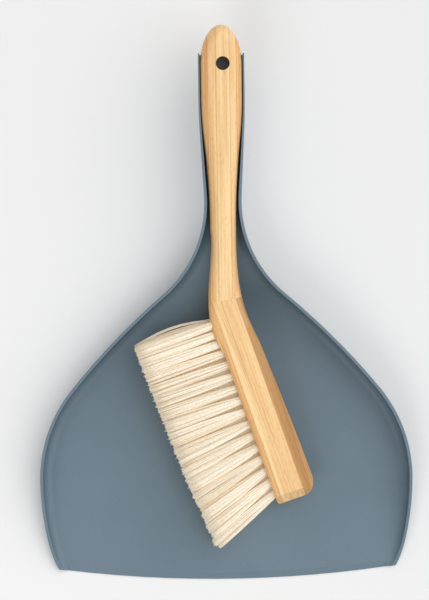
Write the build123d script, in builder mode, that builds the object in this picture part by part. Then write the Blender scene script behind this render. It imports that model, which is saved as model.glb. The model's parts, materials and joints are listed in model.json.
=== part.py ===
from build123d import *
from math import asin, atan, cos, degrees, radians, sin, tan
import os

# Dust pan with a hand brush lying in it. Millimetres, +Z up, +Y towards the
# handle, +X to the right with the pan's mouth towards the viewer. The origin is
# on the floor under the middle of the whole set. Distances called "along" are
# measured from the line through the pan's two front corners towards the handle.

overall_length = 349.3        # front edge of the pan to the end of the brush
front_bow = 7.7               # how far the front edge bows past the corner line
corner_y = front_bow - overall_length / 2
head_along = overall_length - front_bow
handle_slope = 5.0            # degrees, pan handle and brush alike

# Pan
wall = 1.8                    # moulded thickness of floor and walls
cove = 7.0                    # outside radius where the walls rise from the floor
widest_half = 117.9           # half width at the widest point
widest_along = 56.5
side_radius = 185.0           # sides below the widest point
shoulder = (92.0, 39.1)       # radius and degrees of turn
flank = (447.0, 10.8)
throat = (75.0, 52.9)         # turns back, past straight, so the handle flares
flare_length = 42.0
flare_radius = 300.0
pan_handle_end = 323.6
corner_half = 109.0           # half width of the rim at the front corners
rim_at_corner = 3.0           # height of the rim at the front corners
rim_rise = 0.26               # slope of the rim as it leaves the corners
throat_along = 203.6          # where the bowl has narrowed into the handle
rim_at_throat = 33.3
channel_depth = 14.8          # outside depth of the channel-shaped handle
ramp_angle = 27.0             # degrees, steepest part of the ramp into the handle
ramp_foot_radius = 80.0
ramp_top_radius = 60.0
lip_edge = 0.7                # thickness of the front edge
lip_width = 4.0               # width of its bevel
grip_draft = 0.75             # degrees, the channel's inside opens by this towards its end

# Sizes of cuts that only have to pass right through what they cut
tall = 70.0
wide = 150.0
past = 5.0

# Brush, in its own plane: x across, y along the handle, z through the thickness
brush_along = 214.6           # narrowest point of the handle, the plane's origin
brush_mid_at_throat = 28.6    # height of its mid plane where the throat is
handle_thick = 16.0
handle_edge = 6.4             # rounding of the handle's long edges
head_half = 13.05             # half width of the handle's head
head_y = (84.0, 103.0)        # the head's straight stretch
taper_share = 0.315           # of the taper's curve that is the head's shoulder
head_end = (head_along - brush_along) / cos(radians(handle_slope))
waist_half = 8.1
neck_y = -29.0                # where the handle starts to thicken into the block
neck_half = 9.1
neck_thick = 16.2
hang_hole = (1.0, 103.6)
hang_hole_radius = 4.3

bend = 18.8                   # degrees between the handle and the block
mitre_left = (-9.9, -45.1)    # inner corner of the bend, on the bristle side
mitre_width = 21.3
mitre_thick = 18.4
face_start = (-10.37, -47.18) # first point of the bristle face
block_thick = 25.0
block_length = 133.7
block_start = 31.0            # along the block, where it has its full section
block_depth_start = 23.0
block_depth_end = 26.4
back_bow = 0.5                # of the block's back, at its middle
block_edge = 1.5              # rounding of the bristle face's long edges
face_corner_radius = 2.0      # far corner of the bristle face
back_corner_radius = 10.0     # far corner of the back
bevel_depth = 18.4            # from the bristle face to the back's bevels
bevel_fall = 1.35             # bevel drop per millimetre of depth
end_bevel = 6.5
dowel_radius = 3.0
dowel_length = 26.0
clearance = 0.05              # between glued or driven pieces

# Tufts
tuft_radius = 2.4
tuft_depth = 8.6              # how far a tuft is set into the block
row_gap = 6.6                 # between rows, through the block's thickness
row_tufts = 16
first_root = 12.2
close_tufts = 3               # the first gaps are closer than the others
close_pitch = 6.3
pitch = 7.9
tip_half_thick = 3.1
straight_tufts = 7            # the tufts after these fan out
fan_step = 2.75               # degrees more with each fanned tuft
longest_tuft = 52.8
tuft_taper = 0.2              # each tuft is this much shorter than the last
tuft_gap = 0.15               # between neighbouring tips
staple = (6.4, 1.5, 0.35)     # flat wire anchor: length, width, thickness
staple_depth = 7.8            # below the bristle face

os.makedirs("parts", exist_ok=True)


def save(part, name):
    """Label a finished piece and write its STEP file."""
    part.label = name
    export_step(part, f"parts/{name}.step")


def side_slope(along):
    """Height gained along the handle's slope, measured from the throat."""
    return (along - throat_along) * tan(radians(handle_slope))


past_end = pan_handle_end + past
inner_front = -30.0           # the inside is cut from here, well before the front edge
before_front = inner_front - past

# Sketch plane seen from the side: its x is "along" and its y is height.
side_view = Plane(origin=(0, corner_y, 0), x_dir=(0, 1, 0), z_dir=(1, 0, 0))

# ---------------------------------------------------------------- dust pan


def pan_form(inset, lift, radius, draft):
    """The pan's outline raised to a tall block, over its floor and ramp.

    The outer form has no inset, lift or draft. The inner one is smaller by the
    wall, opens a little in the handle and runs out past the front edge.
    """
    ramp_rise = rim_at_throat - channel_depth
    slope, steep = radians(handle_slope), radians(ramp_angle)
    foot_rise = ramp_foot_radius * (1 - cos(steep))
    top_rise = ramp_top_radius * (cos(slope) - cos(steep))
    ramp_straight = (ramp_rise - foot_rise - top_rise) / sin(steep)
    ramp_run = (
        ramp_foot_radius * sin(steep)
        + ramp_straight * cos(steep)
        + ramp_top_radius * (sin(steep) - sin(slope))
    )
    with BuildPart() as form:
        with BuildSketch(Plane.XY.shift_origin((0, corner_y, 0))):
            with BuildLine():
                widest = (widest_half - inset, widest_along)
                low_side = JernArc(widest, (0, -1), side_radius - inset, -20)
                high_side = JernArc(widest, (0, 1), shoulder[0] - inset, shoulder[1])
                diagonal = JernArc(high_side @ 1, high_side % 1, flank[0] - inset, flank[1])
                throat_turn = throat[1] + draft
                inward = JernArc(diagonal @ 1, diagonal % 1, throat[0] + inset, -throat_turn)
                flare = Line(inward @ 1, inward @ 1 + (inward % 1) * flare_length)
                flare_turn = throat_turn - shoulder[1] - flank[1]
                straighten = JernArc(flare @ 1, flare % 1, flare_radius - inset, flare_turn)
                end_half = (straighten @ 1).X
                Polyline(straighten @ 1, (end_half, pan_handle_end), (0, pan_handle_end))
                front_half = (low_side @ 1).X
                Polyline(low_side @ 1, (front_half, inner_front), (0, inner_front))
                mirror(about=Plane.YZ)
            make_face()
        extrude(amount=tall)
        with BuildSketch(side_view):
            with BuildLine():
                foot_start = (throat_along - ramp_run, lift)
                foot = JernArc(foot_start, (1, 0), ramp_foot_radius, ramp_angle)
                climb = Line(foot @ 1, foot @ 1 + (foot % 1) * ramp_straight)
                top = JernArc(climb @ 1, climb % 1, ramp_top_radius, handle_slope - ramp_angle)
                end = (past_end, (top @ 1).Y + side_slope(past_end))
                Polyline(top @ 1, end, (past_end, tall), (before_front, tall))
                Polyline((before_front, tall), (before_front, lift), foot_start)
            make_face()
        extrude(amount=wide, both=True, mode=Mode.INTERSECT)
        floor_sides = form.edges().filter_by(
            lambda e: abs(e.center().X) > 1
            and e.bounding_box().size.Y > 1
            and e.bounding_box().max.Z < tall / 2
        )
        fillet(floor_sides, radius)
    return form.part


# the front edge is an arc through both corners, about this upright axis
lip_radius = (corner_half**2 + front_bow**2) / (2 * front_bow)
lip_axis = Axis((0, corner_y - front_bow + lip_radius, 0), (0, 0, 1))
front_turn = 20.0             # degrees to each side, wider than the pan
bevel_turn = degrees(asin((corner_half - cove) / lip_radius))


def front_plane(turn):
    """An upright plane through the bow's axis, turned left from the middle."""
    angle = radians(turn)
    return Plane(
        origin=lip_axis.position,
        x_dir=(-sin(angle), -cos(angle), 0),
        z_dir=(-cos(angle), sin(angle), 0),
    )


pan_outer = pan_form(0, 0, cove, 0)
pan_inner = pan_form(wall, wall, cove - wall, grip_draft)

with BuildPart() as pan:
    add(pan_outer)
    add(pan_inner, mode=Mode.SUBTRACT)

    # everything above the rim, which climbs from the corners to the handle's end
    with BuildSketch(side_view):
        with BuildLine():
            rim = Spline(
                [(0, rim_at_corner), (throat_along, rim_at_throat)],
                tangents=[(1, rim_rise), (1, tan(radians(handle_slope)))],
            )
            Polyline(
                rim @ 1,
                (past_end, rim_at_throat + side_slope(past_end)),
                (past_end, tall + past),
                (before_front, tall + past),
                (before_front, rim_at_corner + before_front * rim_rise),
                rim @ 0,
            )
        make_face()
    extrude(amount=wide, both=True, mode=Mode.SUBTRACT)

    # the bowed front edge, then its bevel between the two coved sides
    with BuildSketch(front_plane(front_turn)):
        with Locations((lip_radius, -past)):
            Rectangle(wide, tall + 2 * past, align=(Align.MIN, Align.MIN))
    revolve(axis=lip_axis, revolution_arc=2 * front_turn, mode=Mode.SUBTRACT)
    with BuildSketch(front_plane(bevel_turn)):
        Polygon(
            (lip_radius + past, lip_edge),
            (lip_radius, lip_edge),
            (lip_radius - lip_width, wall),
            (lip_radius - lip_width, wall + past),
            (lip_radius + past, wall + past),
            align=None,
        )
    revolve(axis=lip_axis, revolution_arc=2 * bevel_turn, mode=Mode.SUBTRACT)

save(pan.part, "dust_pan")

# ------------------------------------------------------- wooden brush body

brush_plane = Plane(
    origin=(0, corner_y + brush_along, brush_mid_at_throat + side_slope(brush_along)),
    x_dir=(1, 0, 0),
    z_dir=(0, -sin(radians(handle_slope)), cos(radians(handle_slope))),
)


def brush_at(x, y, turn=0.0):
    """The brush's plane, moved to a point of it and turned about its normal."""
    return Plane(brush_plane.location * Location((x, y, 0), (0, 0, turn)))


def standing(plane):
    """A plane stood on its x: its y is the old normal, and it faces the old -y."""
    return Plane(plane.location * Location((0, 0, 0), (90, 0, 0)))


# x runs along the bristle face from the bend, y goes from it into the block
block_plane = brush_at(*face_start, turn=bend - 90)


def block_point(along_face, depth):
    """A point of the block, in the brush's plane."""
    turn = radians(bend)
    x = face_start[0] + along_face * sin(turn) + depth * cos(turn)
    y = face_start[1] - along_face * cos(turn) + depth * sin(turn)
    return x, y


half_bend = radians(bend / 2)
mitre_middle = (
    mitre_left[0] + mitre_width / 2 * cos(half_bend),
    mitre_left[1] + mitre_width / 2 * sin(half_bend),
)
mitre_plane = standing(brush_at(*mitre_middle, turn=bend / 2))

half_block = block_thick / 2
outside = half_block + 0.1    # just clear of the block's flat sides


def bevel_cut(start):
    """Corners of a wedge that cuts a bevel, from where it starts in the flat side."""
    run = half_block          # far enough to leave the wood
    return (start, outside), (start + run, outside), (start + run, half_block - run * bevel_fall)


with BuildPart() as body:
    # the handle, from the head to its narrowest point
    with BuildSketch(brush_plane):
        with BuildLine():
            taper_turn = 2 * atan((head_half - waist_half) / head_y[0])
            taper_radii = head_y[0] / sin(taper_turn)
            head = EllipticalCenterArc(
                (0, head_y[1]), head_half, head_end - head_y[1], start_angle=0, arc_size=90
            )
            Line((head_half, head_y[1]), (head_half, head_y[0]))
            inwards = JernArc(
                (head_half, head_y[0]), (0, -1), taper_radii * taper_share, -degrees(taper_turn)
            )
            waist = JernArc(
                inwards @ 1, inwards % 1, taper_radii * (1 - taper_share), degrees(taper_turn)
            )
            Line(waist @ 1, (0, 0))
            mirror(about=Plane.YZ)
        make_face()
    extrude(amount=handle_thick / 2, both=True)
    long_edges = body.edges().filter_by(
        lambda e: abs(brush_plane.to_local_coords(e.center()).Z) > handle_thick / 2 - clearance
        and brush_plane.to_local_coords(e.center()).Y > clearance
    )
    fillet(long_edges, handle_edge)

    # the neck, thickening round the bend
    with BuildSketch(standing(brush_plane)):
        RectangleRounded(2 * waist_half, handle_thick, handle_edge)
    with BuildSketch(standing(brush_at(0, neck_y))):
        RectangleRounded(2 * neck_half, neck_thick, handle_edge)
    with BuildSketch(mitre_plane):
        RectangleRounded(mitre_width, mitre_thick, handle_edge * 0.85)
    with BuildSketch(standing(brush_at(*block_point(block_start, block_depth_start / 2), bend))):
        RectangleRounded(block_depth_start, block_thick, block_edge)
    loft()

    # the block
    with BuildSketch(block_plane):
        with BuildLine():
            Polyline(
                (block_start, block_depth_start),
                (block_start, 0),
                (block_length, 0),
                (block_length, block_depth_end),
            )
            middle = (block_start + block_length) / 2
            bulge = (block_depth_start + block_depth_end) / 2 + back_bow
            ThreePointArc(
                (block_length, block_depth_end),
                (middle, bulge),
                (block_start, block_depth_start),
            )
        make_face()
        fillet(vertices().group_by(Axis.X)[-1].sort_by(Axis.Y)[0], face_corner_radius)
        fillet(vertices().group_by(Axis.X)[-1].sort_by(Axis.Y)[-1], back_corner_radius)
    extrude(amount=half_block, both=True)
    # bevels along both sides of the back and of the bristle face
    with BuildSketch(standing(brush_at(*block_point(0, 0), bend))):
        Polygon(*bevel_cut(bevel_depth), align=None)
        Polygon(
            (-past, outside),
            (-past, half_block - block_edge),
            (0, half_block - block_edge),
            (block_edge, half_block),
            (block_edge, outside),
            align=None,
        )
        mirror(about=Plane.XZ)
    extrude(amount=block_length + past, mode=Mode.SUBTRACT)
    # and of the far end
    with BuildSketch(standing(block_plane)):
        Polygon(*bevel_cut(block_length - end_bevel), align=None)
        mirror(about=Plane.XZ)
    extrude(amount=-2 * block_depth_end, mode=Mode.SUBTRACT)

# ------------------------------------------------------------------ tufts

roots = [
    first_root + close_pitch * min(i, close_tufts) + pitch * max(i - close_tufts, 0)
    for i in range(row_tufts)
]
fans = [fan_step * max(i - straight_tufts, 0) for i in range(row_tufts)]
row_heights = {"upper": row_gap, "middle": 0.0, "lower": -row_gap}
tufts = []
for row, height in row_heights.items():
    # the middle row is staggered, and starts after the closely spaced tufts
    staggered = row == "middle"
    first = close_tufts if staggered else 0
    last = row_tufts - 1 if staggered else row_tufts
    for i in range(first, last):
        root, fan = roots[i], fans[i]
        if staggered:
            root = (roots[i] + roots[i + 1]) / 2
            fan = (fans[i] + fans[i + 1]) / 2
        place = Plane(block_plane.location * Location((root, 0, height), (0, 0, fan)))
        gap = close_pitch if i <= close_tufts and not staggered else pitch
        tufts.append(
            {
                "name": f"tuft_{row}_{i - first + 1:02d}",
                "plane": standing(place),
                "length": longest_tuft - tuft_taper * i,
                "tip_half": gap / 2 - tuft_gap,
            }
        )

# ------------------------------------------------- holes in the wooden body


def staple_solid(plane, grow):
    """A flat wire anchor across the bottom of a tuft's hole."""
    length, width, thick = (size + 2 * grow for size in staple)
    with BuildPart() as wire:
        with BuildSketch(plane.offset(-staple_depth)):
            Rectangle(thick, length)
        extrude(amount=width / 2, both=True)
    return wire.part


with BuildPart() as dowel_hole:
    with BuildSketch(mitre_plane):
        Circle(dowel_radius + clearance)
    extrude(amount=dowel_length / 2 + 0.5, both=True)

with BuildPart() as handle:
    add(body.part)
    split(bisect_by=mitre_plane, keep=Keep.BOTTOM)
    add(dowel_hole.part, mode=Mode.SUBTRACT)
    with BuildSketch(brush_at(*hang_hole)):
        Circle(hang_hole_radius)
    extrude(amount=handle_thick, both=True, mode=Mode.SUBTRACT)

with BuildPart() as block:
    add(body.part)
    split(bisect_by=mitre_plane, keep=Keep.TOP)
    add(dowel_hole.part, mode=Mode.SUBTRACT)
    for tuft in tufts:
        with BuildSketch(tuft["plane"].offset(-tuft_depth - clearance)):
            Circle(tuft_radius + clearance)
        extrude(amount=tuft_depth + past, mode=Mode.SUBTRACT)
        add(staple_solid(tuft["plane"], clearance), mode=Mode.SUBTRACT)

save(handle.part, "brush_handle")
save(block.part, "brush_block")

with BuildPart() as dowel:
    with BuildSketch(mitre_plane):
        Circle(dowel_radius)
    extrude(amount=dowel_length / 2, both=True)
    chamfer(dowel.edges(), 0.8)
save(dowel.part, "joint_dowel")

for tuft in tufts:
    plane = tuft["plane"]
    with BuildPart() as bristles:
        with BuildSketch(plane.offset(-tuft_depth)):
            Circle(tuft_radius)
        extrude(amount=tuft_depth + 1)
        with BuildSketch(plane.offset(1)):
            Circle(tuft_radius)
        with BuildSketch(plane.offset(tuft["length"])):
            Ellipse(tuft["tip_half"], tip_half_thick)
        loft()
        add(staple_solid(plane, clearance), mode=Mode.SUBTRACT)
    save(bristles.part, tuft["name"])

staples = Compound(children=[staple_solid(tuft["plane"], 0) for tuft in tufts])
save(staples, "tuft_staples")
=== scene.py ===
import json
import random
from math import cos, pi, radians, sin, tau

import bpy
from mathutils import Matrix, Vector


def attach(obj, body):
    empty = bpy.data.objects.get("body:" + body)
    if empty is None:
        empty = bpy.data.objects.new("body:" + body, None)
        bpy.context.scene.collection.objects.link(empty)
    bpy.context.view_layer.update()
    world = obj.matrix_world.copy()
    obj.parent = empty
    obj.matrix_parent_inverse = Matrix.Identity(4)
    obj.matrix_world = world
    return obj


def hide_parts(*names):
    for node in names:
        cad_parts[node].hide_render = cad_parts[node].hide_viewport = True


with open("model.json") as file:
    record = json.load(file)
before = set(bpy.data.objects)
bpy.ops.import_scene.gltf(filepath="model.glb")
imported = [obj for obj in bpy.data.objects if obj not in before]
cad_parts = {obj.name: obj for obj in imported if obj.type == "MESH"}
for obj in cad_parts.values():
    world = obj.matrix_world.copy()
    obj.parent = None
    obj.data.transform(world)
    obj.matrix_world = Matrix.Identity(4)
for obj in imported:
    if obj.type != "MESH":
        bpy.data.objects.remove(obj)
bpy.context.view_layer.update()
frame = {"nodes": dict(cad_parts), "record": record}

# A dust pan with a hand brush lying in it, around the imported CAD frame. Metres,
# +Z up, +Y towards the handles, the origin on the floor under the middle.

nodes = frame["nodes"]
mounts = {mount["name"]: mount for mount in frame["record"]["mounts"]}
MM = 0.001

# The brush's own axes: across the handle, along it, and up through its thickness.
brush_up = Vector(mounts["hang_hole"]["axis"]).normalized()
brush_across = Vector((1, 0, 0))
brush_along = brush_up.cross(brush_across).normalized()
bend = radians(18.8)                    # between the handle and the bristle block
FACE_START = (-11.37, -150.78)          # of the bristle face, from the hang hole, mm
block_along = (brush_across * sin(bend) - brush_along * cos(bend)).normalized()
block_back = (brush_across * cos(bend) + brush_along * sin(bend)).normalized()


# ------------------------------------------------------------ stage and camera

CAMERA_HEIGHT = 1.3
VIEW_HEIGHT = 0.3844                    # of floor seen from edge to edge
camera_data = bpy.data.cameras.new("camera")
camera_data.lens = camera_data.sensor_width / 2 / (VIEW_HEIGHT / 2 / CAMERA_HEIGHT)
camera_data.clip_end = 10
camera = bpy.data.objects.new("camera", camera_data)
camera.location = (-0.0060, 0.0039, CAMERA_HEIGHT)
camera.rotation_euler = (0, 0, radians(-0.75))
bpy.context.scene.collection.objects.link(camera)
bpy.context.scene.camera = camera

floor_mesh = bpy.data.meshes.new("floor")
FLOOR_HALF = 6.0
floor_mesh.from_pydata(
    [(-FLOOR_HALF, -FLOOR_HALF, 0), (FLOOR_HALF, -FLOOR_HALF, 0),
     (FLOOR_HALF, FLOOR_HALF, 0), (-FLOOR_HALF, FLOOR_HALF, 0)],
    [],
    [(0, 1, 2, 3)],
)
floor = bpy.data.objects.new("floor", floor_mesh)
bpy.context.scene.collection.objects.link(floor)


def aim(light, direction):
    """Turn a light to shine along a direction."""
    light.rotation_mode = "QUATERNION"
    light.rotation_quaternion = Vector(direction).to_track_quat("-Z", "Y")
    bpy.context.scene.collection.objects.link(light)


# A broad, distant key from the right and a little from the handles' end, so the
# backdrop is lit evenly, and a softbox in front on the left.
key_data = bpy.data.lights.new("key", "SUN")
key_data.energy = 1.78
key_data.angle = radians(84)
aim(bpy.data.objects.new("key", key_data), (-0.6, -0.22, -0.84))

fill_data = bpy.data.lights.new("fill", "AREA")
fill_data.shape = "DISK"
fill_data.size = 1.2
fill_data.energy = 8.0
fill = bpy.data.objects.new("fill", fill_data)
fill.location = (-0.75, -1.1, 1.4)
aim(fill, (0.75, 1.1, -1.4))

world = bpy.data.worlds.new("studio")
world.use_nodes = True
world.node_tree.nodes["Background"].inputs["Color"].default_value = (1, 1, 1, 1)
world.node_tree.nodes["Background"].inputs["Strength"].default_value = 0.44
bpy.context.scene.world = world
bpy.context.scene.view_settings.view_transform = "Standard"


# ------------------------------------------------------------------- materials


def srgb(red, green, blue):
    """Display colour, 0 to 255, as linear colour with alpha."""
    def linear(value):
        value /= 255
        return value / 12.92 if value <= 0.04045 else ((value + 0.055) / 1.055) ** 2.4
    return (linear(red), linear(green), linear(blue), 1.0)


class Shader:
    """A node material in the making, with short calls for the nodes used here."""

    def __init__(self, name, roughness, **settings):
        self.material = bpy.data.materials.new(name)
        self.material.use_nodes = True
        self.tree = self.material.node_tree
        self.surface = self.tree.nodes["Principled BSDF"]
        self.surface.inputs["Roughness"].default_value = roughness
        for socket, value in settings.items():
            self.surface.inputs[socket.replace("_", " ")].default_value = value

    def node(self, kind, inputs=None, **attributes):
        made = self.tree.nodes.new("ShaderNode" + kind)
        for key, value in attributes.items():
            setattr(made, key, value)
        for key, value in (inputs or {}).items():
            if isinstance(value, bpy.types.NodeSocket):
                self.tree.links.new(value, made.inputs[key])
            else:
                made.inputs[key].default_value = value
        return made

    def to_surface(self, socket, value):
        self.tree.links.new(value, self.surface.inputs[socket])

    def math(self, operation, first, second=0.0):
        return self.node("Math", {0: first, 1: second}, operation=operation).outputs[0]

    def dot(self, point, axis):
        """How far a point lies along a fixed axis."""
        made = self.node("VectorMath", {0: point, 1: tuple(axis)}, operation="DOT_PRODUCT")
        return made.outputs["Value"]

    def point(self):
        return self.node("NewGeometry").outputs["Position"]

    def vector(self, x, y, z):
        return self.node("CombineXYZ", {0: x, 1: y, 2: z}).outputs[0]

    def stretched(self, axes, scales):
        """A place measured along three axes, each with its own scale."""
        scaled = [self.math("MULTIPLY", axis, scale) for axis, scale in zip(axes, scales)]
        return self.vector(*scaled)

    def noise(self, place, scale, detail=2.0, roughness=0.5):
        made = self.node(
            "TexNoise",
            {"Vector": place, "Scale": scale, "Detail": detail, "Roughness": roughness},
        )
        return made.outputs[0]

    def ramp(self, value, *stops):
        """Colours or grey levels at given values, blended between them."""
        made = self.node("ValToRGB", {0: value})
        elements = made.color_ramp.elements
        while len(elements) < len(stops):
            elements.new(0.5)
        for element, (place, colour) in zip(elements, stops):
            element.position = place
            element.color = colour if isinstance(colour, tuple) else (colour,) * 3 + (1,)
        return made.outputs[0]

    def mix(self, share, first, second, blend="MIX"):
        made = self.node("Mix", data_type="RGBA", blend_type=blend)
        for socket, value in ((made.inputs[0], share), (made.inputs[6], first), (made.inputs[7], second)):
            if isinstance(value, bpy.types.NodeSocket):
                self.tree.links.new(value, socket)
            else:
                socket.default_value = value
        return made.outputs[2]

    def bump(self, height, distance, strength=1.0):
        made = self.node("Bump", {"Height": height, "Distance": distance, "Strength": strength})
        self.to_surface("Normal", made.outputs[0])
        return made


def floor_material():
    shader = Shader("white_floor", 0.9, Base_Color=srgb(238, 238, 238), Specular_IOR_Level=0.1)
    return shader.material


def plastic_material():
    """Blue-grey moulded polypropylene: satin, very finely grained, faintly uneven."""
    shader = Shader("pan_plastic", 0.46, Specular_IOR_Level=0.42)
    place = shader.point()
    cloud = shader.noise(place, 14.0, 3.0)
    speckle = shader.noise(place, 2600.0, 2.0)
    colour = shader.ramp(cloud, (0.3, srgb(104, 124, 137)), (0.7, srgb(111, 131, 144)))
    grain = shader.ramp(speckle, (0.3, srgb(236, 238, 240)), (0.75, srgb(255, 255, 255)))
    shader.to_surface("Base Color", shader.mix(1.0, colour, grain, "MULTIPLY"))
    rough = shader.math("MULTIPLY_ADD", speckle, 0.16)
    rough.node.inputs[2].default_value = 0.38
    shader.to_surface("Roughness", rough)
    shader.bump(speckle, 0.00006, 0.5)
    return shader.material


WANDER = 0.0008                         # how far a strip's edge strays
SEAM_HALF = 0.00035                     # half a glue line's width
LAST_STRIP = 0.012                      # room for the last strip


def bamboo_material(name, along, across, strips, origin):
    """Lacquered bamboo glued up from strips that run along the piece.

    strips lists where each one starts, across the piece from origin, and its
    colour. Fibre bundles show as fine streaks and glue lines between strips.
    """
    shader = Shader(name, 0.38, Specular_IOR_Level=0.4, Coat_Weight=0.2, Coat_Roughness=0.25)
    up = across.cross(along)
    place = shader.point()
    run = shader.dot(place, along)
    side = shader.dot(place, across)
    rise = shader.dot(place, up)
    wander = shader.noise(shader.vector(run, 0.0, rise), 9.0, 1.0)
    start = strips[0][0] * MM
    reach = (strips[-1][0] * MM - start) + LAST_STRIP
    offset = -across.dot(origin) - start - WANDER / 2
    bent_side = shader.math("ADD", side, shader.math("MULTIPLY", wander, WANDER))
    share = shader.math("DIVIDE", shader.math("ADD", bent_side, offset), reach)
    places = [(edge * MM - start) / reach for edge, _ in strips]
    tones = shader.ramp(share, *[(at, colour) for at, (_, colour) in zip(places, strips)])
    tones.node.color_ramp.interpolation = "CONSTANT"
    colour = tones
    for at in places[1:]:
        away = shader.math("ABSOLUTE", shader.math("SUBTRACT", share, at))
        seam = shader.ramp(away, (0.0, 0.5), (SEAM_HALF / reach, 0.0))
        colour = shader.mix(seam, colour, srgb(176, 124, 70))

    axes = (run, bent_side, rise)
    fibre = shader.noise(shader.stretched(axes, (14.0, 900.0, 260.0)), 1.0, 3.0, 0.6)
    broad = shader.noise(shader.stretched(axes, (9.0, 330.0, 110.0)), 1.0, 2.0, 0.5)
    fleck = shader.noise(shader.stretched(axes, (220.0, 2200.0, 1200.0)), 1.0, 1.0)

    streaks = shader.ramp(fibre, (0.32, srgb(236, 222, 206)), (0.55, srgb(255, 255, 255)))
    bands = shader.ramp(broad, (0.36, srgb(240, 224, 204)), (0.6, srgb(255, 255, 255)))
    flecks = shader.ramp(fleck, (0.3, srgb(232, 212, 188)), (0.42, srgb(255, 255, 255)))
    colour = shader.mix(0.7, colour, streaks, "MULTIPLY")
    colour = shader.mix(0.7, colour, bands, "MULTIPLY")
    colour = shader.mix(0.6, colour, flecks, "MULTIPLY")
    shader.to_surface("Base Color", colour)
    rough = shader.math("MULTIPLY_ADD", fibre, -0.12)
    rough.node.inputs[2].default_value = 0.46
    shader.to_surface("Roughness", rough)
    shader.bump(fibre, 0.00008, 0.35)
    return shader.material


def raw_wood_material():
    """Unfinished beech of the dowel, with its grain along the dowel."""
    shader = Shader("dowel_wood", 0.75)
    place = shader.point()
    axes = [shader.dot(place, axis) for axis in (brush_across, brush_along, brush_up)]
    grain = shader.noise(shader.stretched(axes, (1200.0, 60.0, 1200.0)), 1.0, 3.0)
    shader.to_surface(
        "Base Color", shader.ramp(grain, (0.3, srgb(186, 146, 100)), (0.7, srgb(214, 178, 130)))
    )
    shader.bump(grain, 0.00008, 0.5)
    return shader.material


def wire_material():
    """Drawn steel wire with fine scratches."""
    shader = Shader("staple_wire", 0.35, Metallic=1.0)
    scratch = shader.noise(shader.point(), 5000.0, 2.0)
    shader.to_surface(
        "Base Color", shader.ramp(scratch, (0.3, srgb(160, 160, 158)), (0.7, srgb(205, 205, 202)))
    )
    shader.bump(scratch, 0.00002, 0.5)
    return shader.material


def bristle_material():
    """Ivory bristle: each one has its own tone, and its length is faintly mottled."""
    shader = Shader("bristle", 0.55, Specular_IOR_Level=0.3)
    # a weak glow lifts the shaded bristles, which are too grey without it
    shader.surface.inputs["Emission Color"].default_value = srgb(255, 218, 172)
    shader.surface.inputs["Emission Strength"].default_value = 0.08
    own = shader.node("Attribute", attribute_name="tone").outputs["Color"]
    mottle = shader.noise(shader.point(), 900.0, 2.0)
    shade = shader.ramp(mottle, (0.3, srgb(240, 236, 228)), (0.65, srgb(255, 255, 255)))
    shader.to_surface("Base Color", shader.mix(1.0, own, shade, "MULTIPLY"))
    shader.bump(mottle, 0.00003, 0.4)
    return shader.material


PALE = srgb(252, 218, 162)
MIDDLE = srgb(249, 210, 153)
WARM = srgb(240, 193, 132)
# painted shade: a darker brown for the block's bevelled back, standing for the shade on that face
SHADED_BEVEL_BROWN = srgb(210, 163, 108)
hole = Vector(mounts["hang_hole"]["pos_m"])
block_face = hole + brush_across * FACE_START[0] * MM + brush_along * FACE_START[1] * MM
# Where each strip starts, in millimetres from the handle's middle or the
# bristle face, and its colour. The last of the block's is its bevelled back,
# given a darker brown as painted shade.
HANDLE_STRIPS = ((-14.0, WARM), (-8.4, MIDDLE), (-3.2, PALE), (5.2, MIDDLE), (9.4, WARM))
BLOCK_STRIPS = ((-6.0, WARM), (3.4, PALE), (9.0, MIDDLE), (18.4, SHADED_BEVEL_BROWN))
materials = {
    "floor": floor_material(),
    "pan_plastic": plastic_material(),
    "handle_bamboo": bamboo_material(
        "handle_bamboo", brush_along, brush_across, HANDLE_STRIPS, hole - brush_across * MM
    ),
    "block_bamboo": bamboo_material(
        "block_bamboo", block_along, block_back, BLOCK_STRIPS, block_face
    ),
    "dowel_wood": raw_wood_material(),
    "staple_wire": wire_material(),
    "bristle": bristle_material(),
}
floor_mesh.materials.append(materials["floor"])


def finish_node(name, material):
    """Give a CAD node its material."""
    mesh = nodes[name].data
    mesh.materials.clear()
    mesh.materials.append(materials[material])


finish_node("dust_pan", "pan_plastic")
finish_node("brush_handle", "handle_bamboo")
finish_node("brush_block", "block_bamboo")
finish_node("joint_dowel", "dowel_wood")
finish_node("tuft_staples", "staple_wire")


# --------------------------------------------------------------------- bristles

STRANDS = 180                           # in each tuft
STRAND_RADIUS = 0.23 * MM
RINGS = 8
SIDES = 5
ROOT_RADIUS = 2.25 * MM                 # of the bundle where it enters the block
SET_IN = 3.0 * MM                       # how far strands reach into their hole
LOCKS = 9                               # in each tuft
GATHER = 0.28                           # how far tips gather into them
TUFT_SET_IN = 8.6 * MM                  # depth of the CAD tuft's hole
SPREAD = 1.06                           # tips overlap their neighbours' by this
TONES = ((255, 253, 243), (255, 249, 235), (254, 243, 222), (246, 228, 196))
TONE_SHARES = (4, 5, 2, 1)
TIP_TAPER = 0.45                        # of a strand's radius, lost by its tip
WIDENING = 1.9                          # how early a bundle widens
NOISE = 0.1                             # spread of tips and sways, mm
OFF_LOCK_CUT = 1.4                      # tips outside a lock are shorter, mm
MOST_CUT = 3.4                          # mm
LONG_SHARE = 0.04                       # of the strands that stand out at the tip
STRAY_BOW = 2.7                         # of a stray, as against its bundle's bow
LAST_TUFT = 0.8                         # the last tuft of a row is narrower


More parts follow.
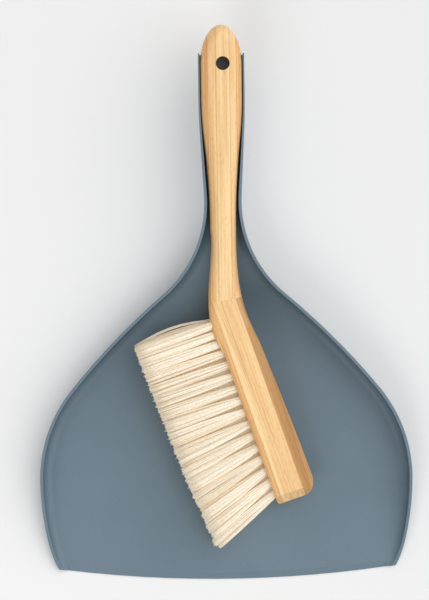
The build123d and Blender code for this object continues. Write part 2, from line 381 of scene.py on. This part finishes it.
def tuft_line(name):
    """Both ends of a tuft's centre line, and its tip's half thickness, from its CAD mesh."""
    points = [vertex.co for vertex in nodes[name].data.vertices]
    middle = sum(points, Vector()) / len(points)
    far = max(points, key=lambda p: (p - middle).length)
    near = max(points, key=lambda p: (p - far).length)
    axis = (far - near).normalized()
    if axis.dot(block_back) > 0:
        axis = -axis
    for _ in range(4):
        reach = [p.dot(axis) for p in points]
        low, high = min(reach), max(reach)
        slack = (high - low) * 0.02
        caps = (
            [p for p, r in zip(points, reach) if r < low + slack],
            [p for p, r in zip(points, reach) if r > high - slack],
        )
        ends = []
        for cap in caps:
            end = Vector()
            for direction in (brush_across, brush_along, brush_up):
                sizes = [p.dot(direction) for p in cap]
                end += direction * (min(sizes) + max(sizes)) / 2
            ends.append(end)
        axis = (ends[1] - ends[0]).normalized()
    heights = [p.dot(brush_up) for p in caps[1]]
    return ends[0], ends[1], (max(heights) - min(heights)) / 2


def strand_rings(mesh_data, path, radius, tone):
    """Add one tapering bristle along a path of points."""
    points, faces, tones = mesh_data
    first = len(points)
    heading = (path[-1] - path[0]).normalized()
    side = heading.orthogonal().normalized()
    other = heading.cross(side)
    for i, centre in enumerate(path):
        share = i / (len(path) - 1)
        size = radius * (1 - TIP_TAPER * share**3)
        for j in range(SIDES):
            turn = tau * j / SIDES
            points.append(centre + (side * cos(turn) + other * sin(turn)) * size)
            tones.append(tone)
    for i in range(len(path) - 1):
        for j in range(SIDES):
            k = (j + 1) % SIDES
            low, high = first + i * SIDES, first + (i + 1) * SIDES
            faces.append((low + j, low + k, high + k, high + j))
    faces.append(tuple(first + j for j in reversed(range(SIDES))))
    faces.append(tuple(first + (len(path) - 1) * SIDES + j for j in range(SIDES)))


def bristle_tuft(name, line, half_spread, rng, bow=0.0, strays=0):
    """A bundle of bristles in place of a CAD tuft.

    It widens fast near the block, and its tips are uneven and gather in locks.
    bow bends the bundle sideways, strays are bristles that bend out further.
    """
    low, tip, half_thick = line
    axis = (tip - low).normalized()
    root = low + axis * TUFT_SET_IN
    side = brush_up.cross(axis).normalized()
    if side.dot(block_along) < 0:
        side = -side
    length = (tip - root).length
    mesh_data = ([], [], [])
    locks = [(rng.uniform(-1, 1), rng.uniform(-1, 1), rng.gauss(0, 0.5)) for _ in range(LOCKS)]
    for number in range(STRANDS + strays):
        stray = number >= STRANDS
        place, reach = rng.random() * tau, rng.random() ** 0.5
        if stray:
            place, reach = pi + rng.uniform(-0.7, 0.7), rng.uniform(0.85, 1.0)
        u, v = cos(place) * reach, sin(place) * reach
        lock = min(locks, key=lambda at: (at[0] - u) ** 2 + (at[1] - v) ** 2)
        off_lock = ((lock[0] - u) ** 2 + (lock[1] - v) ** 2) ** 0.5
        shorter = min(abs(rng.gauss(0, 1)) * 0.6 + off_lock * OFF_LOCK_CUT + lock[2], MOST_CUT)
        cut = length - max(shorter, 0.0) * MM + rng.uniform(0, 0.5) * MM
        if rng.random() < LONG_SHARE:
            cut += rng.uniform(0.3, 1.3) * MM
        end_u = (u + (lock[0] - u) * GATHER) * half_spread + rng.gauss(0, NOISE) * MM
        end_v = (v + (lock[1] - v) * GATHER) * half_thick * 1.02 + rng.gauss(0, NOISE) * MM
        sway_u, sway_v = rng.gauss(0, NOISE) * MM, rng.gauss(0, NOISE) * MM
        lean = bow * (STRAY_BOW if stray else 1.0) * MM
        path = []
        for i in range(RINGS):
            share = i / (RINGS - 1)
            along = -SET_IN + (cut + SET_IN) * share
            free = max(along, 0.0) / length
            widen = 1 - (1 - min(free, 1.0)) ** WIDENING
            wave = sin(pi * min(free, 1.0))
            across = u * ROOT_RADIUS * (1 - widen) + end_u * widen + sway_u * wave - lean * wave
            rise = v * ROOT_RADIUS * (1 - widen) + end_v * widen + sway_v * wave
            path.append(root + axis * along + side * across + brush_up * rise)
        tone = srgb(*rng.choices(TONES, TONE_SHARES)[0])
        strand_rings(mesh_data, path, STRAND_RADIUS * rng.uniform(0.85, 1.12), tone)
    points, faces, tones = mesh_data
    mesh = bpy.data.meshes.new(name + "_bristles")
    mesh.from_pydata(points, [], faces)
    attribute = mesh.attributes.new("tone", "FLOAT_COLOR", "POINT")
    attribute.data.foreach_set("color", [value for tone in tones for value in tone])
    mesh.polygons.foreach_set("use_smooth", [True] * len(mesh.polygons))
    mesh.materials.append(materials["bristle"])
    tuft = bpy.data.objects.new(name + "_bristles", mesh)
    bpy.context.scene.collection.objects.link(tuft)
    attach(tuft, "brush")
    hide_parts(name)


for row in ("upper", "middle", "lower"):
    names = sorted(n for n in nodes if n.startswith("tuft_" + row))
    lines = [tuft_line(n) for n in names]
    rng = random.Random("tufts " + row)
    for i, name in enumerate(names):
        tip = lines[i][1]
        steps = [(lines[j][1] - tip).length for j in (i - 1, i + 1) if 0 <= j < len(lines)]
        half_spread = sum(steps) / len(steps) / 2 * SPREAD
        if i + 1 == len(names):
            half_spread *= LAST_TUFT
        # the first lower tuft bows out and shows beside the upper one
        bow, strays = (1.2, 24) if name == "tuft_lower_01" else (0.0, 0)
        bristle_tuft(name, lines[i], half_spread, rng, bow, strays)
